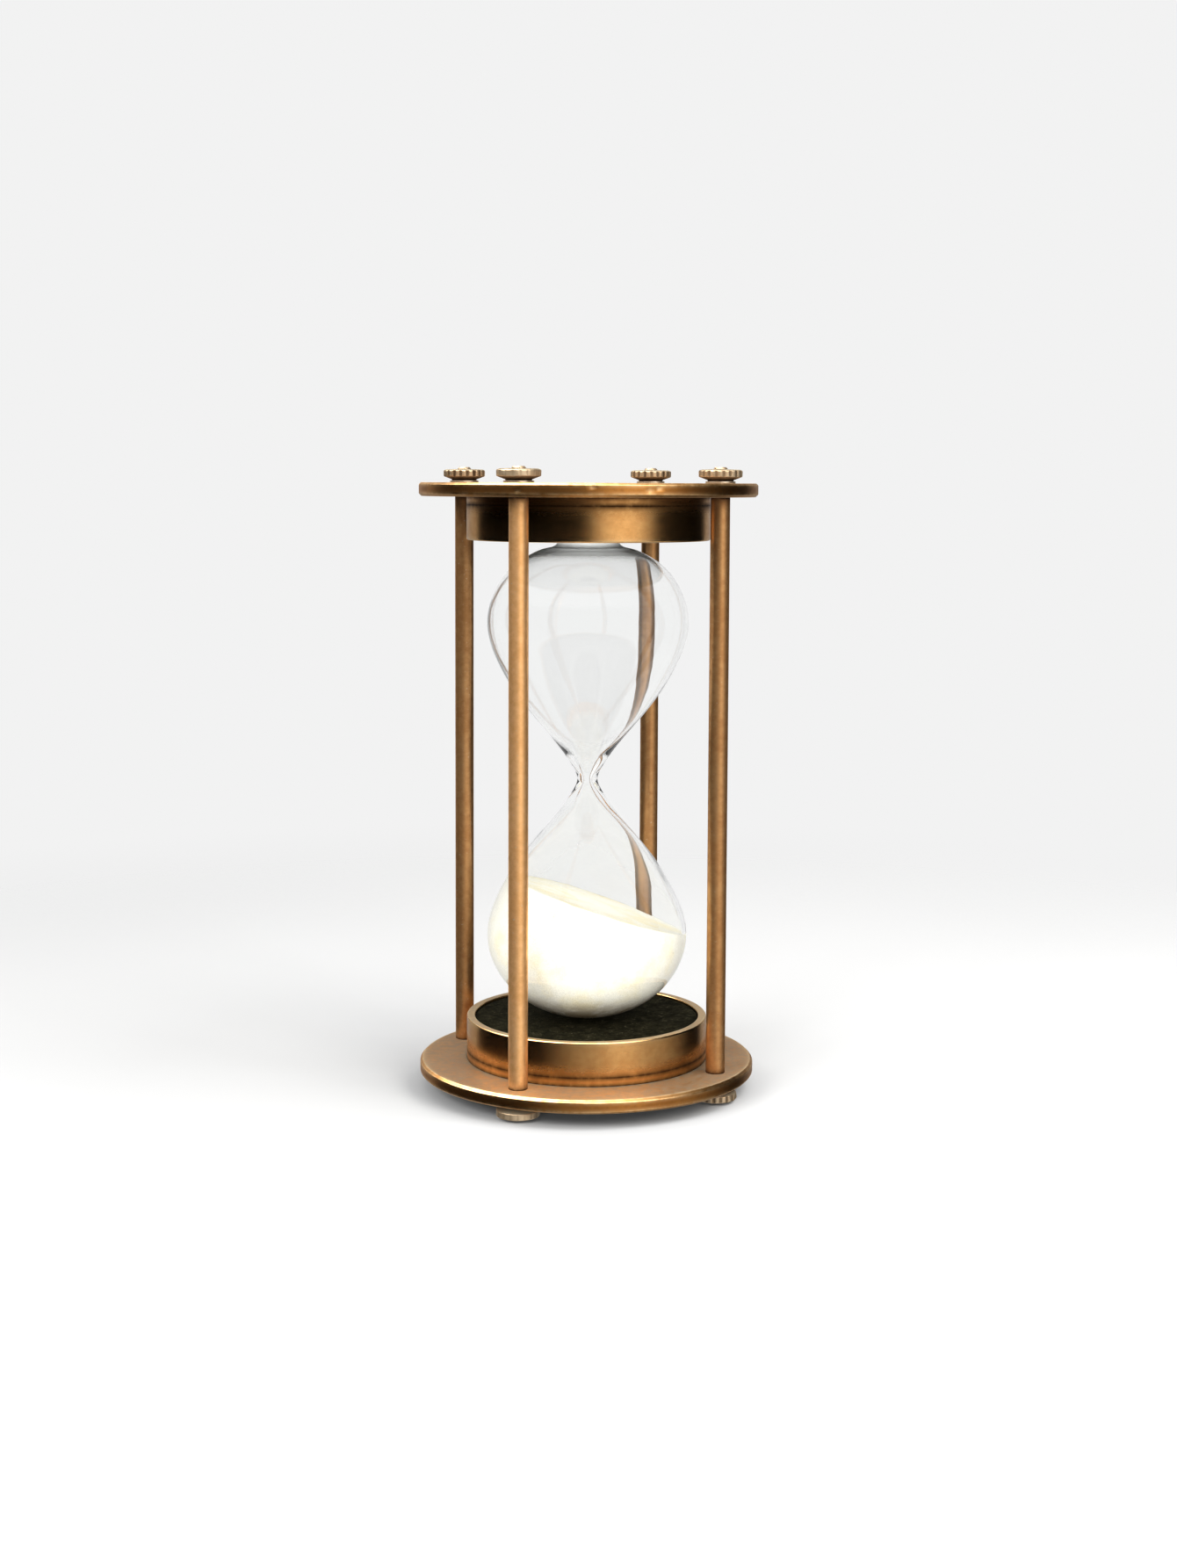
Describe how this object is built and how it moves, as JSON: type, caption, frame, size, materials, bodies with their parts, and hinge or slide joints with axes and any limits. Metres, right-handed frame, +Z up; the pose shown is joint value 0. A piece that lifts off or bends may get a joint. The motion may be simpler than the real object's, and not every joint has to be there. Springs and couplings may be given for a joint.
{
  "type": "hourglass",
  "caption": "Sand hourglass in an antiqued brass frame: round plates, slim pillars with knurled thumb nuts, collars lined with felt, and a blown two-bulb glass.",
  "frame": {"origin": "centre of the plane the hourglass stands on, on the glass's axis", "axes": "+Z up along the glass's axis, -Y the front, +X to the right seen from the front; the pillars stand on the diagonals"},
  "size_m": [0.1, 0.1, 0.1852],
  "materials": {
    "plate_brass": "antiqued, satin, turned",
    "collar_brass": "antiqued, satin, turned",
    "rod_brass": "antiqued, satin, drawn rod",
    "washer_brass": "worn, satin",
    "nut_brass": "worn pale, dark in the flutes",
    "felt": "dark green-black wool felt",
    "cork": "pressed cork",
    "clear_glass": "clear blown glass",
    "plug_rubber": "matt black rubber",
    "white_sand": "fine cream-white sand"
  },
  "bodies": {
    "frame": {"top_plate": "plate_brass", "bottom_plate": "plate_brass", "upper_collar": "collar_brass", "upper_cork_disc": "cork", "upper_felt_pad": "felt", "lower_collar": "collar_brass", "lower_cork_disc": "cork", "lower_felt_pad": "felt", "pillar_front_left": "rod_brass", "pillar_front_right": "rod_brass", "pillar_back_right": "rod_brass", "pillar_back_left": "rod_brass", "washer_top_front_left": "washer_brass", "washer_top_front_right": "washer_brass", "washer_top_back_right": "washer_brass", "washer_top_back_left": "washer_brass", "washer_bottom_front_left": "washer_brass", "washer_bottom_front_right": "washer_brass", "washer_bottom_back_right": "washer_brass", "washer_bottom_back_left": "washer_brass", "glass_vessel": "clear_glass", "fill_plug": "plug_rubber", "sand": "white_sand"},
    "top_nut_front_left": {"thumb_nut_top_front_left": "nut_brass"},
    "top_nut_front_right": {"thumb_nut_top_front_right": "nut_brass"},
    "top_nut_back_right": {"thumb_nut_top_back_right": "nut_brass"},
    "top_nut_back_left": {"thumb_nut_top_back_left": "nut_brass"},
    "bottom_nut_front_left": {"thumb_nut_bottom_front_left": "nut_brass"},
    "bottom_nut_front_right": {"thumb_nut_bottom_front_right": "nut_brass"},
    "bottom_nut_back_right": {"thumb_nut_bottom_back_right": "nut_brass"},
    "bottom_nut_back_left": {"thumb_nut_bottom_back_left": "nut_brass"}
  },
  "joints": [
    {"name": "top_nut_front_left_turn", "type": "hinge", "parent": "frame", "child": "top_nut_front_left", "pos_m": [-0.03005, -0.03005, 0.1822], "axis": [0, 0, 1], "continuous": true},
    {"name": "top_nut_front_right_turn", "type": "hinge", "parent": "frame", "child": "top_nut_front_right", "pos_m": [0.03005, -0.03005, 0.1822], "axis": [0, 0, 1], "continuous": true},
    {"name": "top_nut_back_right_turn", "type": "hinge", "parent": "frame", "child": "top_nut_back_right", "pos_m": [0.03005, 0.03005, 0.1822], "axis": [0, 0, 1], "continuous": true},
    {"name": "top_nut_back_left_turn", "type": "hinge", "parent": "frame", "child": "top_nut_back_left", "pos_m": [-0.03005, 0.03005, 0.1822], "axis": [0, 0, 1], "continuous": true},
    {"name": "bottom_nut_front_left_turn", "type": "hinge", "parent": "frame", "child": "bottom_nut_front_left", "pos_m": [-0.03005, -0.03005, 0.003], "axis": [0, 0, -1], "continuous": true},
    {"name": "bottom_nut_front_right_turn", "type": "hinge", "parent": "frame", "child": "bottom_nut_front_right", "pos_m": [0.03005, -0.03005, 0.003], "axis": [0, 0, -1], "continuous": true},
    {"name": "bottom_nut_back_right_turn", "type": "hinge", "parent": "frame", "child": "bottom_nut_back_right", "pos_m": [0.03005, 0.03005, 0.003], "axis": [0, 0, -1], "continuous": true},
    {"name": "bottom_nut_back_left_turn", "type": "hinge", "parent": "frame", "child": "bottom_nut_back_left", "pos_m": [-0.03005, 0.03005, 0.003], "axis": [0, 0, -1], "continuous": true}
  ]
}
